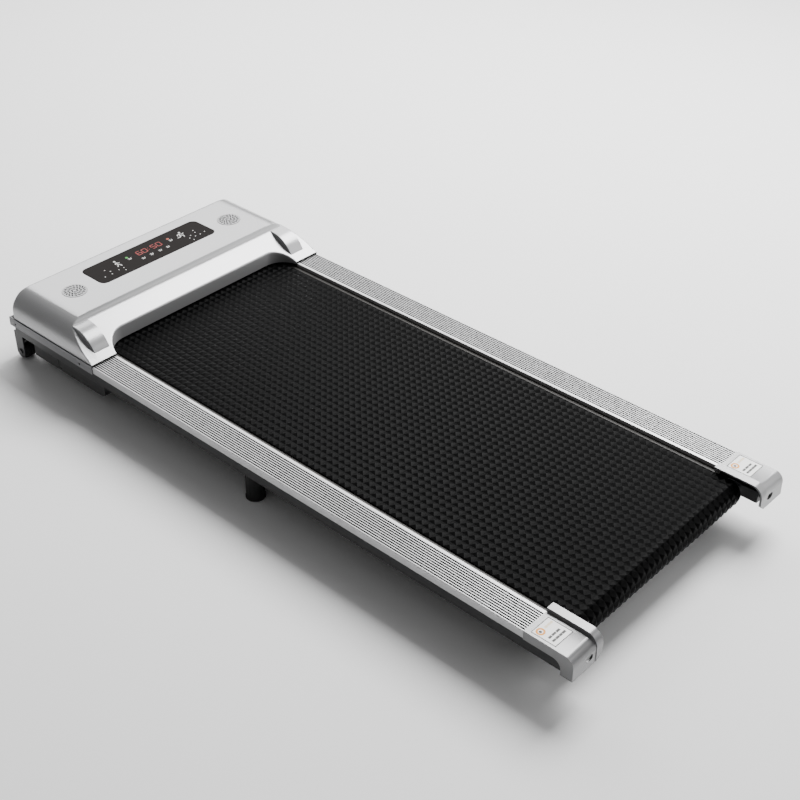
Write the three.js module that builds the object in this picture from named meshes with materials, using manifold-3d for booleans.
import * as THREE from 'three';
import { mergeVertices } from 'three/addons/utils/BufferGeometryUtils.js';
import Module from 'manifold-3d';

// Under-desk walking pad. Millimetres, +X to the user's right, +Y towards the
// head, +Z up, origin on the floor below the middle of the machine.

const wasm = await Module();
wasm.setup();

// ---- driving dimensions -------------------------------------------------

// Overall
const LENGTH = 1187; // transport wheels to the rear lips of the end caps
const WIDTH = 500; // outer faces of the foot rails
const HEIGHT = 135; // floor to the top of the hood
const CLEAR = 0.3; // between pieces that touch

// Foot rails and walking deck
const RAIL_TOP = 85; // floor to the top of the rails
const RAIL_WIDTH = 48.3;
const RAIL_WALL = 2;
const RAIL_SKIRT = 11.7; // height of the rail's outer face
const RAIL_RISE = 6.5; // rail top above the deck board
const GROOVE_PITCH = 4.2;
const GROOVE_COUNT = 9;
const GROOVE_DEPTH = 1;
const GROOVE_MARGIN = 4.6; // outer face to the centre of the first groove
const DECK_THICKNESS = 12;
const DECK_SIDE_CLEAR = 3; // deck edge to the frame flange
const BELT_THICKNESS = 2.2;
const BELT_SIDE_GAP = 9.7; // belt edge to the rail
const ROLLER_RADIUS = 17.5;
const AXLE_RADIUS = 5;
const ROLLER_OVERLAP = 2; // roller end past the belt edge
const REAR_ROLLER_INSET = 53; // rearmost point to the rear roller's axis
const DECK_ROLLER_CLEAR = 8;

// Steel chassis
const FRAME_INSET = 0.5; // end cap's outer wall to the frame web
const AXLE_SEAT = 1; // axle above the frame's bottom flange
const FRAME_HEIGHT = 20;
const FRAME_SHEET = 2.5;
const FLANGE_CLEAR = 5; // drive pulleys to the frame's top flange
const FLANGE_STEP = 6; // bottom flange's edge outside the top flange's
const END_PLATE_REACH = 41; // frame web to the inner edge of the end plate
const END_PLATE_RETURN = 30; // length of the end plate's bent inner edge
const END_PLATE_INSET = 8.9; // frame's rear end to the end plate
const MEMBER_LENGTH = 30; // cross member, along the machine
const MEMBER_SHEET = 2;
const MEMBER_BELT_CLEAR = 3.8; // cross member above the belt's lower run
const CUSHION_HEIGHT = 5;
const CUSHION_RADIUS = 14;
const CUSHION_INSET = 60; // cushion to the end of its cross member
const MEMBER_END_INSET = 75; // deck end to the outer cross members

// End caps
const CAP_LENGTH = 78.5;
const CAP_WALL = 3;
const CAP_RISE = 1; // cap top above the rail top
const CAP_SKIRT = 14.6; // height of the cap's outer wall
const CAP_LEG_LENGTH = 19;
const CAP_LEG_BOTTOM = 49.5; // floor to the foot of the leg
const CAP_HOOK_RADIUS = 13;
const CAP_EDGE_RADIUS = 15;
const CAP_CORNER_RADIUS = 20;
const LIP_WIDTH = 13;
const LIP_RISE = 7; // lip above the rail top
const LIP_PROUD = 1; // lip behind the cap's rear face
const LIP_RADIUS = 18;
const LIP_SHEET = 2.6; // wall of the raised lip
const SLOT_LENGTH = 14.4;
const SLOT_HEIGHT = 10;
const SLOT_RISE = 4.5; // roller's axis to the slot's middle
const TENSION_BOLT_RADIUS = 3;
const TENSION_BOLT_INSET = 34; // cap's outer face to the bolt
const TENSION_BOLT_LENGTH = 66;

// Head
const HEAD_LENGTH = 223.5; // seam with the rails to the front of the base
const HOOD_SETBACK = 7.5; // base front to hood front
const HOOD_WALL = 3;
const HOOD_SIDE_RADIUS = 47;
const HOOD_FRONT_RADIUS = 8;
const BASE_PROUD = 2; // base outside the rails
const BASE_WALL = 3.5;
const BASE_SCREW_INSET = 32.5; // seam to the rim's rear screw, twice the front one's inset
const BASE_RISE = 2; // base top above the rail top
const BASE_LAP = 1; // base below the frame top
const CREASE = 72; // seam to the rear edge of the flat top
const SLOPE_FOOT = 3.3; // slope above the rail top at the seam
const RISER_RUN = 5; // crease to the foot of the riser
const RISER_HEIGHT = 9.56; // flat top above the foot of the riser
const BAY_DEPTH = 34.5; // seam to the wall above the belt
const BAY_RADIUS = 40;
const BAY_SIDE_GAP = 1.2; // arm's inner face inside the rail's inner edge
const BAY_WALL = 2.5;
const BAY_BELT_CLEAR = 3;
const PANEL_SHIFT = 10.6; // display in front of the flat top's middle
const PANEL_DEPTH = 65;
const PANEL_THICKNESS = 1.2;
const PANEL_RECESS = 1.5;
const PANEL_RADIUS = 12;
const PANEL_GRILLE_GAP = 23.6;
const GRILLE_RADIUS = 21;
const GRILLE_INSET = 33; // edge of the flat top to the grille's centre
const GRILLE_SHIFT = -2.7; // grilles in front of the flat top's middle
const GRILLE_SLOTS = 10;
const SOCKET_WIDTH = 30;
const SOCKET_INSET = 18; // outer face to the handrail socket's cover
const SOCKET_CHORD = 60;
const SOCKET_SAG = 9.4;
const SOCKET_MIDDLE = 40.5; // seam to the middle of the cover
const SOCKET_SINK = 1;

// Drive
const FRONT_ROLLER = 67.8; // seam to the front roller's axis
const ROLLER_PULLEY_RADIUS = 30;
const MOTOR_PULLEY_RADIUS = 12;
const PULLEY_WIDTH = 13;
const PULLEY_GAP = 4; // roller end to the pulley
const DRIVE_BELT_WIDTH = 11;
const DRIVE_BELT_THICKNESS = 2.5;
const MOTOR_LENGTH = 150;
const MOTOR_CLEAR = 10; // above and below the motor
const MOTOR_GAP = 7; // drive on the roller to the motor
const FLYWHEEL_STEP = 7.75; // flywheel's radius inside the motor's
const FLYWHEEL_WIDTH = 12;
const BEAM_DEPTH = 18; // front beam, along the machine
const BOARD_HEIGHT = 3.6; // display board with its parts
const BOARD_DROP = 0.4; // hood's wall to the board's parts

// Underside
const PAN_INSET = 12; // rail's outer face to the pan's side
const PAN_DROP = 3.7; // drive belt to the pan's floor
const PAN_WALL = 2.5;
const PAN_REAR = -7.2; // seam to the pan's rear edge
const PAN_CORNER = 10;
const PAN_RIB = 107.5; // seam to the groove in the pan's side
const PAN_RIB_WIDTH = 10;
const PAN_RIB_DEPTH = 1.5;
const PAN_BELT_CLEAR = 3;
const WHEEL_OVERHANG = 11.8; // wheel past the front of the base
const WHEEL_RADIUS = 14;
const WHEEL_WIDTH = 18;
const BRACKET_INSET = 7.5; // rail's outer face to the bracket's outer plate
const BRACKET_SHEET = 2.5;
const BRACKET_RADIUS = 11.5;
const BRACKET_LENGTH = 48;
const PIN_RADIUS = 3.5;
const MIDDLE_FOOT_RADIUS = 14.3;
const MIDDLE_FOOT_INSET = 24; // rail's outer face to the foot's axis
const MIDDLE_FOOT_Y = 8.8;
const FOOT_FLARE = 1.2;
const REAR_FOOT_RADIUS = 12;
const REAR_FOOT_SPREAD = 27; // belt edge to the foot's axis
const FOOT_BAR_INSET = 89.5; // rearmost point to the foot bar's middle
const FOOT_BAR_WIDTH = 30;
const FOOT_BAR_SHEET = 2.5;
const FOOT_BAR_BELT_CLEAR = 6;
const FOOT_BAR_SIDE_CLEAR = 13; // belt edge to the bar's leg
const FOOT_BAR_TAB = 28;

// ---- places worked out from them ----------------------------------------

const front = LENGTH / 2;
const rear = -LENGTH / 2;
const side = WIDTH / 2;
const baseFront = front - WHEEL_OVERHANG;
const seam = baseFront - HEAD_LENGTH;
const hoodFront = baseFront - HOOD_SETBACK;
const capRear = rear + LIP_PROUD;
const capStart = capRear + CAP_LENGTH;

const railInner = side - RAIL_WIDTH;
const deckTop = RAIL_TOP - RAIL_RISE;
const deckBottom = deckTop - DECK_THICKNESS;
const beltSide = railInner - BELT_SIDE_GAP;
const beltInnerRadius = ROLLER_RADIUS + CLEAR;
const beltOuterRadius = beltInnerRadius + BELT_THICKNESS;
const beltTop = deckTop + CLEAR + BELT_THICKNESS;
const rollerZ = beltTop - beltOuterRadius;
const beltBottom = rollerZ - beltOuterRadius;
const rearRollerY = rear + REAR_ROLLER_INSET;
const frontRollerY = seam + FRONT_ROLLER;
const rollerEnd = beltSide + ROLLER_OVERLAP;
const deckRear = rearRollerY + beltOuterRadius + DECK_ROLLER_CLEAR;
const driveReach = Math.max(ROLLER_PULLEY_RADIUS + CLEAR + DRIVE_BELT_THICKNESS, beltOuterRadius);
const deckFront = frontRollerY - driveReach - DECK_ROLLER_CLEAR;

const frameOuter = side - CAP_WALL - FRAME_INSET;
const frameInner = frameOuter - FRAME_SHEET;
const frameBottom = rollerZ - AXLE_RADIUS - AXLE_SEAT - FRAME_SHEET;
const frameTop = frameBottom + FRAME_HEIGHT;
const frameFront = baseFront - BASE_WALL - CLEAR;
const pulleyX = rollerEnd + PULLEY_GAP;
const shaftEnd = pulleyX + PULLEY_WIDTH;
const topFlangeTip = shaftEnd + FLANGE_CLEAR;
const bottomFlangeTip = topFlangeTip + FLANGE_STEP;
const channelFloor = frameBottom + FRAME_SHEET + CLEAR;
const channelRoof = frameTop - FRAME_SHEET - CLEAR;

const capTop = RAIL_TOP + CAP_RISE;
const capInnerRadius = CAP_EDGE_RADIUS - CAP_WALL;
const capRoundAtFrame = Math.max(frameTop - (capTop - CAP_EDGE_RADIUS), 0);
const frameRear = capRear + CAP_EDGE_RADIUS + CLEAR
  - Math.sqrt(Math.max(capInnerRadius ** 2 - capRoundAtFrame ** 2, 0));
const lipTop = RAIL_TOP + LIP_RISE;
const lipOuter = railInner + CLEAR * 2;
const boltX = side - TENSION_BOLT_INSET;
const endPlateRear = frameRear + END_PLATE_INSET;

const baseTop = RAIL_TOP + BASE_RISE;
const baseBottom = frameTop - BASE_LAP;
const hoodInnerTop = HEIGHT - HOOD_WALL;
const hoodBottom = baseTop + CLEAR;
const hoodSideRadius = Math.min(HOOD_SIDE_RADIUS, HEIGHT - hoodBottom - 1);
const flatHalf = side - hoodSideRadius;
const baseOuter = side + BASE_PROUD;
const baseInner = baseOuter - BASE_WALL;
const bayHalf = railInner - BAY_SIDE_GAP;
const slopeFoot = RAIL_TOP + SLOPE_FOOT;
const slope = (HEIGHT - RISER_HEIGHT - slopeFoot) / (CREASE - RISER_RUN);
const slopeAngle = Math.atan(slope);
const flatMiddle = (seam + CREASE + hoodFront) / 2;
const grilleX = flatHalf - GRILLE_INSET;
const panelHalf = grilleX - GRILLE_RADIUS - PANEL_GRILLE_GAP;
const grilleY = flatMiddle + GRILLE_SHIFT;
const panelY = flatMiddle + PANEL_SHIFT;
const boardBottom = hoodInnerTop - BOARD_DROP - BOARD_HEIGHT;

const driveFront = frontRollerY + driveReach;
const beamRear = frameFront - BEAM_DEPTH;
const panFloor = rollerZ - driveReach - PAN_DROP;
const panBottom = panFloor - PAN_WALL;
const motorRadius = Math.min(
  (boardBottom - panFloor) / 2 - MOTOR_CLEAR, (beamRear - driveFront) / 2 - MOTOR_GAP,
);
const motorZ = (boardBottom + panFloor) / 2;
const motorY = driveFront + MOTOR_GAP + motorRadius;

const wheelY = front - WHEEL_RADIUS;
const bracketOuter = side - BRACKET_INSET;
const bracketInner = bracketOuter - BRACKET_SHEET * 2 - WHEEL_WIDTH - 2;
const bracketRear = front - BRACKET_LENGTH;

// ---- materials ----------------------------------------------------------

const finish = (color, roughness, metalness) =>
  new THREE.MeshStandardMaterial({ color, roughness, metalness });

const silver = finish(0xc9cacc, 0.35, 0.2);
const greyPlastic = finish(0x6b6c6e, 0.5, 0);
const darkPlastic = finish(0x2b2b2c, 0.6, 0);
const aluminium = finish(0xd0d1d3, 0.35, 0.9);
const blackSteel = finish(0x3c3d3f, 0.45, 0.6);
const steel = finish(0xa8aaad, 0.3, 1);
const rubber = finish(0x161616, 0.85, 0);
const smokedGlass = finish(0x2e2624, 0.1, 0);
const fibreboard = finish(0x1d1b1a, 0.6, 0);
const circuit = finish(0x1f5a3a, 0.5, 0.1);
const motorPaint = finish(0x202124, 0.5, 0.5);

// ---- solids -------------------------------------------------------------

const solidOf = (geometry) => {
  const bare = new THREE.BufferGeometry();
  bare.setAttribute('position', geometry.getAttribute('position'));
  bare.setIndex(geometry.getIndex());
  const merged = mergeVertices(bare);
  return new wasm.Manifold(new wasm.Mesh({
    numProp: 3,
    vertProperties: new Float32Array(merged.getAttribute('position').array),
    triVerts: new Uint32Array(merged.getIndex().array),
  }));
};

const geometryOf = (solid) => {
  const mesh = solid.getMesh();
  const geometry = new THREE.BufferGeometry();
  geometry.setAttribute('position', new THREE.BufferAttribute(mesh.vertProperties, 3));
  geometry.setIndex(new THREE.BufferAttribute(mesh.triVerts, 1));
  return geometry;
};

const union = (first, ...others) => others.reduce((sum, other) => sum.add(other), first);
const cut = (first, ...others) => others.reduce((rest, other) => rest.subtract(other), first);

const box = (x0, x1, y0, y1, z0, z1) => solidOf(
  new THREE.BoxGeometry(x1 - x0, y1 - y0, z1 - z0)
    .translate((x0 + x1) / 2, (y0 + y1) / 2, (z0 + z1) / 2),
);

const extruded = (shape, depth, curveSegments) =>
  new THREE.ExtrudeGeometry(shape, { depth, bevelEnabled: false, curveSegments });

// Turns an outline drawn in (x, y) and swept along z into one in (y, z) swept along x.
const ontoX = new THREE.Matrix4().makeBasis(
  new THREE.Vector3(0, 1, 0), new THREE.Vector3(0, 0, 1), new THREE.Vector3(1, 0, 0),
);

// Outline in (y, z), swept from x0 to x1.
const alongX = (shape, x0, x1, curveSegments = 8) =>
  solidOf(extruded(shape, x1 - x0, curveSegments).applyMatrix4(ontoX).translate(x0, 0, 0));

// Outline in (x, z), swept from y0 to y1.
const alongY = (shape, y0, y1, curveSegments = 8) =>
  solidOf(extruded(shape, y1 - y0, curveSegments).rotateX(Math.PI / 2).translate(0, y1, 0));

// Outline in (x, y), swept from z0 to z1.
const alongZ = (shape, z0, z1, curveSegments = 8) =>
  solidOf(extruded(shape, z1 - z0, curveSegments).translate(0, 0, z0));

const polygon = (points) => new THREE.Shape(points.map(([u, v]) => new THREE.Vector2(u, v)));

const rectangle = (u0, u1, v0, v1) => polygon([[u0, v0], [u1, v0], [u1, v1], [u0, v1]]);

const roundedRectangle = (u0, u1, v0, v1, r) => {
  const shape = new THREE.Shape();
  shape.moveTo(u0 + r, v0);
  shape.absarc(u1 - r, v0 + r, r, -Math.PI / 2, 0);
  shape.absarc(u1 - r, v1 - r, r, 0, Math.PI / 2);
  shape.absarc(u0 + r, v1 - r, r, Math.PI / 2, Math.PI);
  shape.absarc(u0 + r, v0 + r, r, Math.PI, Math.PI * 1.5);
  return shape;
};

// Round bars: radius, ends along the axis, and the axis's place.
const barX = (radius, x0, x1, y, z, sides = 24) => solidOf(
  new THREE.CylinderGeometry(radius, radius, x1 - x0, sides)
    .rotateZ(-Math.PI / 2)
    .translate((x0 + x1) / 2, y, z),
);
const barY = (radius, y0, y1, x, z, sides = 24) => solidOf(
  new THREE.CylinderGeometry(radius, radius, y1 - y0, sides).translate(x, (y0 + y1) / 2, z),
);
const barZ = (radius, z0, z1, x, y, sides = 24) => solidOf(
  new THREE.CylinderGeometry(radius, radius, z1 - z0, sides)
    .rotateX(Math.PI / 2)
    .translate(x, y, (z0 + z1) / 2),
);

// A turned piece standing on (x, y): profile in (radius, height), bottom to top.
const turned = (profile, x, y, sides = 24) => solidOf(
  new THREE.LatheGeometry(profile.map(([r, h]) => new THREE.Vector2(r, h)), sides)
    .rotateX(Math.PI / 2)
    .translate(x, y, 0),
);

// Outline of a belt round two pulleys, in (y, z): [y, z, radius] each.
const beltOutline = ([y0, z0, r0], [y1, z1, r1]) => {
  const heading = Math.atan2(z1 - z0, y1 - y0);
  const lean = Math.acos((r0 - r1) / Math.hypot(y1 - y0, z1 - z0));
  const outline = new THREE.Shape();
  outline.absarc(y0, z0, r0, heading + lean, heading - lean + Math.PI * 2);
  outline.absarc(y1, z1, r1, heading - lean, heading + lean);
  outline.closePath();
  return outline;
};

const beltLoop = (first, second, thickness, x0, x1, curveSegments) => {
  const grown = ([y, z, r]) => [y, z, r + thickness];
  const shape = beltOutline(grown(first), grown(second));
  shape.holes.push(beltOutline(first, second));
  return alongX(shape, x0, x1, curveSegments);
};

const mirrored = (solid) => {
  const geometry = geometryOf(solid).scale(-1, 1, 1);
  const index = geometry.getIndex();
  for (let i = 0; i < index.count; i += 3) {
    const second = index.getX(i + 1);
    index.setX(i + 1, index.getX(i + 2));
    index.setX(i + 2, second);
  }
  return solidOf(geometry);
};

// ---- the assembly -------------------------------------------------------

const group = new THREE.Group();
group.name = 'walking_pad';

// Adds a solid as a mesh whose own origin is the middle of its box.
const addPiece = (parent, name, solid, material) => {
  const geometry = geometryOf(solid);
  geometry.computeBoundingBox();
  const centre = geometry.boundingBox.getCenter(new THREE.Vector3());
  geometry.translate(-centre.x, -centre.y, -centre.z);
  geometry.computeVertexNormals();
  const mesh = new THREE.Mesh(geometry, material);
  mesh.name = name;
  mesh.position.copy(centre);
  parent.add(mesh);
};

// Adds a right-hand solid and its mirror image.
const addPair = (parent, name, rightSolid, material) => {
  addPiece(parent, `${name}_right`, rightSolid, material);
  addPiece(parent, `${name}_left`, mirrored(rightSolid), material);
};

// ---- hood ---------------------------------------------------------------

// Side view of the hood, (y, z), pulled in by an offset on every upper face.
const hoodProfile = (offset, bottom) => {
  const along = offset / Math.cos(slopeAngle);
  const heightAt = (y) => slopeFoot + (y - seam) * slope - along;
  const crease = seam + CREASE + offset;
  const riserFoot = crease - RISER_RUN;
  const top = HEIGHT - offset;
  const radius = Math.max(HOOD_FRONT_RADIUS - offset, 1);
  const shape = new THREE.Shape();
  shape.moveTo(seam - (offset > 0 ? 10 : 0), bottom);
  shape.lineTo(hoodFront - offset, bottom);
  shape.absarc(hoodFront - offset - radius, top - radius, radius, 0, Math.PI / 2);
  shape.lineTo(crease, top);
  shape.quadraticCurveTo(riserFoot + 2, heightAt(riserFoot), riserFoot - 6, heightAt(riserFoot - 6));
  const foot = offset > 0 ? seam - 10 : seam;
  shape.lineTo(foot, Math.max(heightAt(foot), bottom + 0.2));
  return shape;
};

// End view of the hood, (x, z).
const hoodSection = (offset, bottom) => {
  const radius = Math.max(hoodSideRadius - offset, 1);
  const half = side - offset;
  const top = HEIGHT - offset;
  const shape = new THREE.Shape();
  shape.moveTo(-half, bottom);
  shape.lineTo(half, bottom);
  shape.absarc(half - radius, top - radius, radius, 0, Math.PI / 2);
  shape.absarc(-half + radius, top - radius, radius, Math.PI / 2, Math.PI);
  return shape;
};

const hoodForm = (offset, bottom) =>
  alongX(hoodProfile(offset, bottom), -side - 5, side + 5, 6)
    .intersect(alongY(hoodSection(offset, bottom), seam - 10, front, 12));

// The bay over the belt between the two arms, in (x, y).
const bayOutline = (grow) => {
  const half = bayHalf + grow;
  const depth = seam + BAY_DEPTH + grow;
  const radius = BAY_RADIUS + grow;
  const shape = new THREE.Shape();
  shape.moveTo(-half, seam - 20);
  shape.lineTo(half, seam - 20);
  shape.absarc(half - radius, depth - radius, radius, 0, Math.PI / 2);
  shape.absarc(-half + radius, depth - radius, radius, Math.PI / 2, Math.PI);
  return shape;
};

// Cover of the handrail socket, side view (y, z): a circle segment whose chord
// lies just below the slope.
const socketOutline = (grow) => {
  const radius = (SOCKET_CHORD ** 2 / 4 + SOCKET_SAG ** 2) / (2 * SOCKET_SAG);
  const depth = radius - SOCKET_SAG;
  const y = seam + SOCKET_MIDDLE + depth * Math.sin(slopeAngle);
  const z = slopeFoot + SOCKET_MIDDLE * slope - depth * Math.cos(slopeAngle);
  const spread = Math.acos((depth - SOCKET_SINK - grow) / (radius + grow));
  const middle = Math.PI / 2 + slopeAngle;
  const shape = new THREE.Shape();
  shape.absarc(y, z, radius + grow, middle - spread, middle + spread);
  return shape;
};
const socketOuter = side - SOCKET_INSET;
const socketForm = (grow) => alongX(
  socketOutline(grow), socketOuter - SOCKET_WIDTH - grow, socketOuter + grow, 12,
);

// Power inlet and switch openings in the hood's front wall.
const INLET = { x: -150, halfWidth: 14, halfHeight: 10, depth: 24 };
const SWITCH = { x: -105, halfWidth: 7, halfHeight: 10, depth: 16 };
const socketLineZ = (hoodBottom + HEIGHT - HOOD_FRONT_RADIUS) / 2;
const wallOpening = ({ x, halfWidth, halfHeight }) => box(
  x - halfWidth, x + halfWidth, hoodFront - 20, hoodFront + 5,
  socketLineZ - halfHeight, socketLineZ + halfHeight,
);

const makeHood = () => {
  const skirtSide = baseInner - CLEAR;
  const skirtFront = baseFront - BASE_WALL - CLEAR;
  const outer = hoodForm(0, hoodBottom);
  const skirt = cut(
    box(-skirtSide, skirtSide, seam, skirtFront, hoodBottom - 3, hoodBottom + 0.5),
    box(-skirtSide + 2, skirtSide - 2, seam + 2, skirtFront - 2, 0, HEIGHT),
  ).intersect(box(-side, side, seam, hoodFront, 0, HEIGHT));
  const bayBand = alongZ(bayOutline(BAY_WALL), beltTop + BAY_BELT_CLEAR, HEIGHT, 10)
    .intersect(hoodForm(0, beltTop + BAY_BELT_CLEAR))
    .intersect(box(-side + HOOD_WALL, side - HOOD_WALL, seam, front, 0, HEIGHT));
  const room = hoodForm(HOOD_WALL, 0)
    .intersect(box(-side, side, seam + HOOD_WALL, front, 0, HEIGHT))
    .subtract(alongZ(bayOutline(BAY_WALL), 0, HEIGHT, 10));
  const panelSeat = alongZ(
    roundedRectangle(
      -panelHalf - CLEAR, panelHalf + CLEAR,
      panelY - PANEL_DEPTH / 2 - CLEAR, panelY + PANEL_DEPTH / 2 + CLEAR,
      PANEL_RADIUS,
    ), HEIGHT - PANEL_RECESS, HEIGHT + 5, 6,
  );
  const grilleHoles = [-grilleX, grilleX].map((x) =>
    barZ(GRILLE_RADIUS + CLEAR, hoodInnerTop - 5, HEIGHT + 5, x, grilleY, 32));
  const socketSeats = [socketForm(CLEAR), mirrored(socketForm(CLEAR))];
  const shell = cut(union(outer, skirt, bayBand), room);
  return cut(
    shell, alongZ(bayOutline(0), 0, HEIGHT, 10), panelSeat,
    ...grilleHoles, ...socketSeats, wallOpening(INLET), wallOpening(SWITCH),
  );
};

// ---- head ---------------------------------------------------------------

const head = new THREE.Group();
group.add(head);
addPiece(head, 'hood', makeHood(), silver);

// Tray that carries the hood: an open-backed rim with a ledge on the chassis.
const makeHeadBase = () => {
  const wall = cut(
    box(-baseOuter, baseOuter, seam, baseFront, baseBottom, baseTop),
    box(-baseInner, baseInner, seam - 1, baseFront - BASE_WALL, 0, HEIGHT),
  );
  const ledge = cut(
    box(-baseInner - 1, baseInner + 1, seam, baseFront - BASE_WALL + 1,
      frameTop + CLEAR, frameTop + CLEAR + 2),
    box(-baseInner + 22, baseInner - 22, seam - 1, baseFront - BASE_WALL - 20, 0, HEIGHT),
  );
  const screwHoles = [seam + BASE_SCREW_INSET, baseFront - BASE_SCREW_INSET / 2].map((y) =>
    barX(2.2, -baseOuter - 1, baseOuter + 1, y, baseBottom + 6.5, 12));
  return cut(union(wall, ledge), ...screwHoles);
};
addPiece(head, 'head_base', makeHeadBase(), greyPlastic);

addPiece(head, 'display_panel', alongZ(
  roundedRectangle(
    -panelHalf, panelHalf, panelY - PANEL_DEPTH / 2, panelY + PANEL_DEPTH / 2,
    PANEL_RADIUS - CLEAR,
  ), HEIGHT - PANEL_THICKNESS, HEIGHT, 6,
), smokedGlass);

const makeDisplayBoard = () => {
  const half = panelHalf - 20;
  return union(
    box(-half, half, panelY - 24, panelY + 24, boardBottom, boardBottom + 1.6),
    box(-30, 30, panelY - 9, panelY + 9, boardBottom + 1, boardBottom + BOARD_HEIGHT),
    box(-half + 8, -half + 22, panelY - 12, panelY + 4, boardBottom - 4, boardBottom + 0.5),
  );
};
addPiece(head, 'display_board', makeDisplayBoard(), circuit);

// Slotted speaker insert with a rim under the hood's top wall.
const makeGrille = (x) => {
  const y = grilleY;
  const rimTop = hoodInnerTop - CLEAR;
  const insert = turned([
    [0, rimTop - 1.5], [GRILLE_RADIUS + 3, rimTop - 1.5], [GRILLE_RADIUS + 3, rimTop],
    [GRILLE_RADIUS, rimTop], [GRILLE_RADIUS, HEIGHT], [0, HEIGHT],
  ], x, y, 24);
  const slots = Array.from({ length: GRILLE_SLOTS }, (_, i) => {
    const slot = new THREE.BoxGeometry(11, 1.8, 12)
      .translate(12, 0, HEIGHT - 2)
      .rotateZ((i * Math.PI * 2) / GRILLE_SLOTS)
      .translate(x, y, 0);
    return solidOf(slot);
  });
  return cut(insert, ...slots);
};

const makeSpeaker = (x) => {
  const top = hoodInnerTop - CLEAR - 1.5 - CLEAR;
  return turned([
    [0, top - 18], [11, top - 18], [11, top - 10], [19, top - 2],
    [20.5, top - 2], [20.5, top], [0, top],
  ], x, grilleY, 16);
};
for (const [name, x] of [['left', -grilleX], ['right', grilleX]]) {
  addPiece(head, `speaker_grille_${name}`, makeGrille(x), silver);
  addPiece(head, `speaker_${name}`, makeSpeaker(x), darkPlastic);
}
addPair(head, 'handrail_socket_cover', socketForm(0), silver);

// Mains inlet: a flanged shell with a three-pin well.
const makeInlet = () => {
  const { x, halfWidth, halfHeight, depth } = INLET;
  const back = hoodFront - depth;
  const shell = union(
    box(x - halfWidth + CLEAR, x + halfWidth - CLEAR, back, hoodFront + 1,
      socketLineZ - halfHeight + CLEAR, socketLineZ + halfHeight - CLEAR),
    box(x - halfWidth - 3, x + halfWidth + 3, hoodFront + CLEAR, hoodFront + 2,
      socketLineZ - halfHeight - 3, socketLineZ + halfHeight + 3),
  );
  const well = box(x - halfWidth + 3, x + halfWidth - 3, back + 4, hoodFront + 5,
    socketLineZ - halfHeight + 3, socketLineZ + halfHeight - 3);
  const pins = [-7, 0, 7].map((shift) => box(
    x + shift - 1, x + shift + 1, back + 3, hoodFront - 4, socketLineZ - 2.5, socketLineZ + 2.5,
  ));
  return union(cut(shell, well), ...pins);
};
addPiece(head, 'power_inlet', makeInlet(), darkPlastic);

const makeSwitchBody = () => {
  const { x, halfWidth, halfHeight, depth } = SWITCH;
  const shell = union(
    box(x - halfWidth + CLEAR, x + halfWidth - CLEAR, hoodFront - depth, hoodFront + 1,
      socketLineZ - halfHeight + CLEAR, socketLineZ + halfHeight - CLEAR),
    box(x - halfWidth - 2, x + halfWidth + 2, hoodFront + CLEAR, hoodFront + 1.8,
      socketLineZ - halfHeight - 2, socketLineZ + halfHeight + 2),
  );
  const well = box(x - halfWidth + 1.8, x + halfWidth - 1.8, hoodFront - depth + 2, hoodFront + 5,
    socketLineZ - halfHeight + 1.8, socketLineZ + halfHeight - 1.8);
  return cut(shell, well);
};
addPiece(head, 'power_switch_body', makeSwitchBody(), darkPlastic);

// Rocker, resting with its upper half pressed in.
const ROCKER_TILT = THREE.MathUtils.degToRad(8);
const makeRocker = () => {
  const { x, halfWidth, halfHeight } = SWITCH;
  const reach = halfHeight - 3.2;
  const outline = polygon([
    [-5, -reach], [1.5, -reach], [3, -reach * 0.5], [2, 0],
    [3, reach * 0.5], [1.5, reach], [-5, reach],
  ]);
  return solidOf(
    extruded(outline, (halfWidth - 2.2) * 2, 4)
      .applyMatrix4(ontoX)
      .rotateX(ROCKER_TILT)
      .translate(x - halfWidth + 2.2, hoodFront - 1, socketLineZ),
  );
};
addPiece(head, 'power_rocker', makeRocker(), rubber);

// ---- drive --------------------------------------------------------------

const drive = new THREE.Group();
group.add(drive);

const bored = (solid, y, z) => cut(
  solid, barX(AXLE_RADIUS + CLEAR, -side, side, y, z),
);
addPiece(drive, 'front_roller', bored(
  barX(ROLLER_RADIUS, -rollerEnd, rollerEnd, frontRollerY, rollerZ, 32), frontRollerY, rollerZ,
), steel);
addPiece(drive, 'rear_roller', bored(
  barX(ROLLER_RADIUS, -rollerEnd, rollerEnd, rearRollerY, rollerZ, 32), rearRollerY, rollerZ,
), steel);

const blockOuter = frameInner - CLEAR;
addPiece(drive, 'front_axle', barX(
  AXLE_RADIUS, -blockOuter + 3, blockOuter - 3, frontRollerY, rollerZ,
), steel);
addPair(drive, 'front_axle_block', bored(
  box(blockOuter - 16, blockOuter, frontRollerY - 15, frontRollerY + 15, channelFloor, channelRoof),
  frontRollerY, rollerZ,
), blackSteel);

const boltHole = barY(
  TENSION_BOLT_RADIUS + CLEAR, rear - 10, rearRollerY + 60, boltX, rollerZ, 16,
);
addPiece(drive, 'rear_axle', cut(
  barX(AXLE_RADIUS, -boltX - 8, boltX + 8, rearRollerY, rollerZ), boltHole, mirrored(boltHole),
), steel);
addPair(drive, 'rear_axle_block', cut(
  bored(
    box(boltX - 8, boltX + 8, rearRollerY - 12, rearRollerY + 12, channelFloor, channelRoof),
    rearRollerY, rollerZ,
  ), boltHole,
), blackSteel);

// Hexagon socket screw that pulls the rear axle back against the end plate.
const makeTensionBolt = () => {
  const headInner = endPlateRear - CLEAR;
  const socket = new THREE.CylinderGeometry(2.9, 2.9, 7, 6).translate(boltX, headInner - 6, rollerZ);
  return cut(union(
    barY(TENSION_BOLT_RADIUS, headInner - 1, headInner + TENSION_BOLT_LENGTH, boltX, rollerZ, 16),
    barY(5, headInner - 6, headInner, boltX, rollerZ, 24),
  ), solidOf(socket));
};
addPair(drive, 'tension_bolt', makeTensionBolt(), steel);

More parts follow.
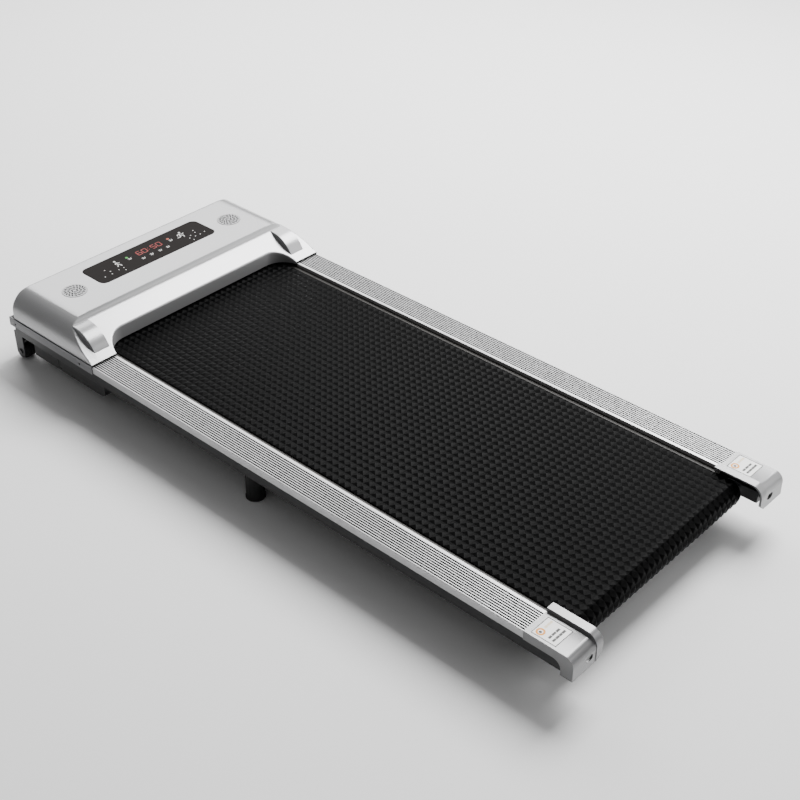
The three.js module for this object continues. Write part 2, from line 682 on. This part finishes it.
addPiece(drive, 'running_belt', beltLoop(
  [rearRollerY, rollerZ, beltInnerRadius], [frontRollerY, rollerZ, beltInnerRadius],
  BELT_THICKNESS, -beltSide, beltSide, 14,
), rubber);

const makeRollerPulley = () => bored(union(
  barX(ROLLER_PULLEY_RADIUS, pulleyX, pulleyX + PULLEY_WIDTH, frontRollerY, rollerZ, 36),
  barX(12, rollerEnd + CLEAR, pulleyX + 1, frontRollerY, rollerZ),
), frontRollerY, rollerZ);
addPiece(drive, 'roller_pulley', makeRollerPulley(), darkPlastic);

const motorHalf = MOTOR_LENGTH / 2;
const motorBore = (grow) => barX(AXLE_RADIUS + grow, -side, side, motorY, motorZ);
const makeMotor = () => cut(union(
  barX(motorRadius, -motorHalf + 8, motorHalf - 8, motorY, motorZ, 36),
  barX(motorRadius - 4, -motorHalf, motorHalf, motorY, motorZ, 36),
), motorBore(CLEAR));
addPiece(drive, 'motor_body', makeMotor(), motorPaint);
addPiece(drive, 'motor_shaft', barX(
  AXLE_RADIUS, -motorHalf - FLYWHEEL_WIDTH - 4, shaftEnd, motorY, motorZ,
), steel);
addPiece(drive, 'motor_pulley', cut(
  barX(MOTOR_PULLEY_RADIUS, pulleyX, pulleyX + PULLEY_WIDTH, motorY, motorZ), motorBore(CLEAR),
), steel);
addPiece(drive, 'flywheel', cut(
  barX(motorRadius - FLYWHEEL_STEP, -motorHalf - FLYWHEEL_WIDTH - 2, -motorHalf - 2, motorY, motorZ, 32),
  motorBore(CLEAR),
), steel);
const driveBeltX = pulleyX + (PULLEY_WIDTH - DRIVE_BELT_WIDTH) / 2;
addPiece(drive, 'drive_belt', beltLoop(
  [frontRollerY, rollerZ, ROLLER_PULLEY_RADIUS + CLEAR],
  [motorY, motorZ, MOTOR_PULLEY_RADIUS + CLEAR],
  DRIVE_BELT_THICKNESS, driveBeltX, driveBeltX + DRIVE_BELT_WIDTH, 16,
), rubber);

// Front beam between the side frames; the motor's saddle is bolted to its back.
const makeFrontBeam = () => cut(
  box(-blockOuter, blockOuter, beamRear, frameFront, channelFloor, channelRoof),
  box(-side, side, beamRear - 1, frameFront - FRAME_SHEET,
    channelFloor + FRAME_SHEET, channelRoof - FRAME_SHEET),
);
addPiece(drive, 'front_beam', makeFrontBeam(), blackSteel);
addPiece(drive, 'motor_saddle', cut(
  box(-40, 40, motorY, beamRear - CLEAR, channelFloor, channelRoof),
  barX(motorRadius + CLEAR, -60, 60, motorY, motorZ, 36),
), blackSteel);

const makeController = () => {
  const inner = -motorHalf - FLYWHEEL_WIDTH - 18;
  const outer = -bottomFlangeTip + 12;
  const y0 = motorY - motorRadius + 2;
  const y1 = motorY + motorRadius - 6;
  const at = (share) => y0 + (y1 - y0) * share;
  const z = frameBottom + 6;
  const fins = Array.from({ length: 6 }, (_, i) => box(
    outer + 6, outer + 36, at(0.1 + i * 0.08), at(0.1 + i * 0.08) + 2, z + 1, z + 20,
  ));
  return union(
    box(outer, inner, y0, y1, z, z + 2),
    box(outer + 6, outer + 36, at(0.1), at(0.53), z + 1, z + 5),
    ...fins,
    barZ(9, z + 1, z + 30, inner - 16, at(0.24)),
    barZ(9, z + 1, z + 30, inner - 16, at(0.54)),
    box(inner - 30, inner - 8, at(0.74), at(0.92), z + 1, z + 16),
  );
};
addPiece(drive, 'motor_controller', makeController(), circuit);

// ---- chassis, deck and rails --------------------------------------------

const chassis = new THREE.Group();
group.add(chassis);

const makeSideFrame = () => {
  const channel = alongY(polygon([
    [bottomFlangeTip, frameBottom], [frameOuter, frameBottom], [frameOuter, frameTop],
    [topFlangeTip, frameTop], [topFlangeTip, frameTop - FRAME_SHEET],
    [frameInner, frameTop - FRAME_SHEET], [frameInner, frameBottom + FRAME_SHEET],
    [bottomFlangeTip, frameBottom + FRAME_SHEET],
  ]), frameRear, frameFront);
  const endPlate = box(
    frameInner - END_PLATE_REACH, frameInner + 1,
    endPlateRear, endPlateRear + FRAME_SHEET, frameBottom, frameTop,
  );
  const bentEdge = box(
    frameInner - END_PLATE_REACH, frameInner - END_PLATE_REACH + FRAME_SHEET,
    endPlateRear, endPlateRear + END_PLATE_RETURN, frameBottom, frameTop,
  );
  return cut(union(channel, endPlate, bentEdge), boltHole);
};
addPair(chassis, 'side_frame', makeSideFrame(), blackSteel);

const deckSide = topFlangeTip - DECK_SIDE_CLEAR;
addPiece(chassis, 'deck_board', box(
  -deckSide, deckSide, deckRear, deckFront, deckBottom, deckTop,
), fibreboard);

const cushionTop = deckBottom - CLEAR;
const memberTop = cushionTop - CUSHION_HEIGHT - CLEAR;
const memberBottom = beltBottom + BELT_THICKNESS + MEMBER_BELT_CLEAR;
const memberSide = bottomFlangeTip - CLEAR;
const makeMember = (y) => {
  const shape = rectangle(
    y - MEMBER_LENGTH / 2, y + MEMBER_LENGTH / 2, memberBottom, memberTop,
  );
  shape.holes.push(rectangle(
    y - MEMBER_LENGTH / 2 + MEMBER_SHEET, y + MEMBER_LENGTH / 2 - MEMBER_SHEET,
    memberBottom + MEMBER_SHEET, memberTop - MEMBER_SHEET,
  ));
  return alongX(shape, -memberSide, memberSide);
};
const memberPlaces = {
  rear: deckRear + MEMBER_END_INSET,
  middle: MIDDLE_FOOT_Y - MIDDLE_FOOT_RADIUS - MEMBER_LENGTH,
  front: deckFront - MEMBER_END_INSET,
};
for (const [name, y] of Object.entries(memberPlaces)) {
  addPiece(chassis, `cross_member_${name}`, makeMember(y), blackSteel);
}
for (const name of ['rear', 'front']) {
  addPair(chassis, `deck_cushion_${name}`, barZ(
    CUSHION_RADIUS, memberTop + CLEAR, cushionTop, memberSide - CUSHION_INSET, memberPlaces[name],
  ), rubber);
}

// Extruded foot rail with a grooved tread, a skirt and two legs underneath.
const makeRail = () => {
  const skirtBottom = RAIL_TOP - RAIL_SKIRT;
  const underside = RAIL_TOP - RAIL_WALL - GROOVE_DEPTH;
  const leg = (topFlangeTip + frameInner) / 2;
  const tread = Array.from({ length: GROOVE_COUNT }, (_, i) => {
    const middle = side - GROOVE_MARGIN - i * GROOVE_PITCH;
    const half = GROOVE_PITCH / 4;
    return [
      [middle + half, RAIL_TOP], [middle + half, RAIL_TOP - GROOVE_DEPTH],
      [middle - half, RAIL_TOP - GROOVE_DEPTH], [middle - half, RAIL_TOP],
    ];
  }).flat();
  return alongY(polygon([
    [side, skirtBottom], [side, RAIL_TOP], ...tread, [railInner, RAIL_TOP],
    [railInner, deckTop + 0.5], [railInner + RAIL_WALL, deckTop + 0.5],
    [railInner + RAIL_WALL, underside], [leg, underside], [leg, frameTop + CLEAR],
    [leg + RAIL_WALL, frameTop + CLEAR], [leg + RAIL_WALL, underside],
    [side - RAIL_WALL, underside], [side - RAIL_WALL, skirtBottom],
  ]), capStart + CLEAR, seam - CLEAR);
};
addPair(chassis, 'foot_rail', makeRail(), aluminium);

// ---- end caps -----------------------------------------------------------

// Top wall and rear wall as one bent strip, in (y, z).
const bentStrip = (back, top, radius, wall, bottom) => {
  const shape = new THREE.Shape();
  shape.moveTo(capStart, top - wall);
  shape.lineTo(capStart, top);
  shape.absarc(back + radius, top - radius, radius, Math.PI / 2, Math.PI);
  shape.lineTo(back, bottom);
  shape.lineTo(back + wall, bottom);
  shape.absarc(back + radius, top - radius, radius - wall, Math.PI, Math.PI / 2, true);
  return shape;
};

// Outer wall of the cap with its hooked leg, in (y, z).
const capWallOutline = () => {
  const skirt = capTop - CAP_SKIRT;
  const legFront = capRear + CAP_LEG_LENGTH;
  const shape = new THREE.Shape();
  shape.moveTo(capStart, skirt);
  shape.lineTo(capStart, capTop);
  shape.absarc(
    capRear + CAP_EDGE_RADIUS, capTop - CAP_EDGE_RADIUS, CAP_EDGE_RADIUS, Math.PI / 2, Math.PI,
  );
  shape.lineTo(capRear, CAP_LEG_BOTTOM);
  shape.lineTo(legFront, CAP_LEG_BOTTOM);
  shape.absarc(
    legFront + CAP_HOOK_RADIUS, skirt - CAP_HOOK_RADIUS, CAP_HOOK_RADIUS, Math.PI, Math.PI / 2, true,
  );
  return shape;
};

const makeEndCap = () => {
  const lipInner = lipOuter - LIP_WIDTH;
  const rearOutline = new THREE.Shape();
  rearOutline.moveTo(side, CAP_LEG_BOTTOM);
  rearOutline.lineTo(side, lipTop + 5);
  rearOutline.lineTo(lipInner, lipTop + 5);
  rearOutline.absarc(
    lipInner + CAP_CORNER_RADIUS, CAP_LEG_BOTTOM + CAP_CORNER_RADIUS, CAP_CORNER_RADIUS,
    Math.PI, Math.PI * 1.5,
  );
  const lipDepth = lipTop - beltTop - BAY_BELT_CLEAR;
  const lip = union(
    alongX(bentStrip(rear, lipTop, LIP_RADIUS, LIP_SHEET, CAP_LEG_BOTTOM), lipInner, lipOuter),
    alongX(
      bentStrip(rear, lipTop, LIP_RADIUS, lipDepth, CAP_LEG_BOTTOM), lipOuter - LIP_SHEET, lipOuter,
    ),
    box(lipInner, lipOuter, capStart - LIP_SHEET, capStart, lipTop - lipDepth, lipTop),
  ).intersect(box(0, side, rear, capStart, 0, HEIGHT));
  const shell = alongX(
    bentStrip(capRear, capTop, CAP_EDGE_RADIUS, CAP_WALL, CAP_LEG_BOTTOM),
    lipOuter - 1, side - CAP_WALL + 1,
  );
  const slotZ = rollerZ + SLOT_RISE;
  const slot = alongY(roundedRectangle(
    boltX - SLOT_LENGTH / 2, boltX + SLOT_LENGTH / 2,
    slotZ - SLOT_HEIGHT / 2, slotZ + SLOT_HEIGHT / 2, SLOT_HEIGHT / 2 - 0.1,
  ), rear - 5, capRear + CAP_WALL + 2, 4);
  const wall = alongX(capWallOutline(), side - CAP_WALL, side);
  return cut(
    union(shell, lip, wall).intersect(alongY(rearOutline, rear - 5, capStart + 5)), slot,
  );
};
addPair(chassis, 'end_cap', makeEndCap(), silver);

// ---- underside ----------------------------------------------------------

const underside = new THREE.Group();
group.add(underside);

// Tray under the drive, notched at its front corners for the wheels.
const makePan = () => {
  const top = frameBottom - CLEAR;
  const half = side - PAN_INSET;
  const back = seam + PAN_REAR;
  const notchSide = bracketInner - 2;
  const notchRear = bracketRear - 4;
  const panFront = frameFront;
  const plan = (inset) => polygon([
    [-half + inset, back + inset], [half - inset, back + inset],
    [half - inset, notchRear - inset], [notchSide - inset, notchRear - inset],
    [notchSide - inset, panFront - inset], [-notchSide + inset, panFront - inset],
    [-notchSide + inset, notchRear - inset], [-half + inset, notchRear - inset],
  ]);
  const profile = (inset) => {
    const radius = PAN_CORNER - inset;
    const shape = new THREE.Shape();
    shape.moveTo(back + inset, top + 10);
    shape.lineTo(back + inset, panBottom + inset + radius);
    shape.absarc(
      back + inset + radius, panBottom + inset + radius, radius, Math.PI, Math.PI * 1.5,
    );
    shape.lineTo(panFront, panBottom + inset);
    shape.lineTo(panFront, top + 10);
    return shape;
  };
  const outer = alongZ(plan(0), 0, top)
    .intersect(alongX(profile(0), -side, side, 6));
  const inner = alongZ(plan(PAN_WALL), 0, top + 20)
    .intersect(alongX(profile(PAN_WALL), -side, side, 6));
  const beltWay = box(
    -half + PAN_WALL, half - PAN_WALL, back - 1, back + PAN_WALL + 1,
    beltBottom - PAN_BELT_CLEAR, top + 1,
  );
  const groove = box(
    half - PAN_RIB_DEPTH, half + 1, seam + PAN_RIB, seam + PAN_RIB + PAN_RIB_WIDTH,
    panBottom + 4, top + 1,
  );
  return cut(outer, inner, beltWay, groove, mirrored(groove));
};
addPiece(underside, 'bottom_pan', makePan(), darkPlastic);

// Fork for a transport wheel, in sheet steel, with a fixing tab to the rear.
const makeBracket = () => {
  const top = frameBottom - CLEAR;
  const plateOutline = new THREE.Shape();
  plateOutline.moveTo(wheelY - BRACKET_RADIUS, top);
  plateOutline.lineTo(wheelY - BRACKET_RADIUS, WHEEL_RADIUS);
  plateOutline.absarc(wheelY, WHEEL_RADIUS, BRACKET_RADIUS, Math.PI, Math.PI * 2);
  plateOutline.lineTo(wheelY + BRACKET_RADIUS, top);
  const tab = box(
    bracketInner, bracketOuter, bracketRear, wheelY + BRACKET_RADIUS, top - BRACKET_SHEET, top,
  );
  return cut(
    union(
      alongX(plateOutline, bracketOuter - BRACKET_SHEET, bracketOuter, 12),
      alongX(plateOutline, bracketInner, bracketInner + BRACKET_SHEET, 12),
      tab,
    ), barX(PIN_RADIUS + CLEAR, 0, side, wheelY, WHEEL_RADIUS, 16),
  );
};
addPair(underside, 'wheel_bracket', makeBracket(), blackSteel);

const wheelX = (bracketInner + bracketOuter) / 2;
addPair(underside, 'transport_wheel', cut(
  barX(WHEEL_RADIUS, wheelX - WHEEL_WIDTH / 2, wheelX + WHEEL_WIDTH / 2, wheelY, WHEEL_RADIUS, 32),
  barX(PIN_RADIUS + CLEAR, 0, side, wheelY, WHEEL_RADIUS, 16),
), rubber);
addPair(underside, 'wheel_pin', union(
  barX(PIN_RADIUS, bracketInner - 1, bracketOuter + 1, wheelY, WHEEL_RADIUS, 16),
  barX(5, bracketOuter + CLEAR, bracketOuter + 1.8, wheelY, WHEEL_RADIUS, 16),
  barX(5, bracketInner - 1.8, bracketInner - CLEAR, wheelY, WHEEL_RADIUS, 16),
), steel);

// Rubber foot: a shaft on a slightly flared base.
const makeFoot = (radius, top, x, y) => turned([
  [0, 0], [radius + FOOT_FLARE, 0], [radius + FOOT_FLARE, 4], [radius, 6], [radius, top], [0, top],
], x, y, 20);
addPair(underside, 'middle_foot', makeFoot(
  MIDDLE_FOOT_RADIUS, frameBottom - CLEAR, side - MIDDLE_FOOT_INSET, MIDDLE_FOOT_Y,
), rubber);

// Strap below the returning belt that carries the rear feet.
const footBarY = rear + FOOT_BAR_INSET;
const footBarTop = beltBottom - FOOT_BAR_BELT_CLEAR;
const makeFootBar = () => {
  const t = FOOT_BAR_SHEET;
  const leg = beltSide + FOOT_BAR_SIDE_CLEAR;
  const tabTop = frameBottom - CLEAR;
  const half = [
    [leg + t, footBarTop - t], [leg + t, tabTop - t], [leg + FOOT_BAR_TAB, tabTop - t],
    [leg + FOOT_BAR_TAB, tabTop], [leg, tabTop], [leg, footBarTop],
  ];
  const other = half.map(([x, z]) => [-x, z]).reverse();
  return alongY(
    polygon([...half, ...other]), footBarY - FOOT_BAR_WIDTH / 2, footBarY + FOOT_BAR_WIDTH / 2,
  );
};
addPiece(underside, 'rear_foot_bar', makeFootBar(), blackSteel);
addPair(underside, 'rear_foot', makeFoot(
  REAR_FOOT_RADIUS, footBarTop - FOOT_BAR_SHEET - CLEAR, beltSide - REAR_FOOT_SPREAD, footBarY,
), rubber);

export default group;
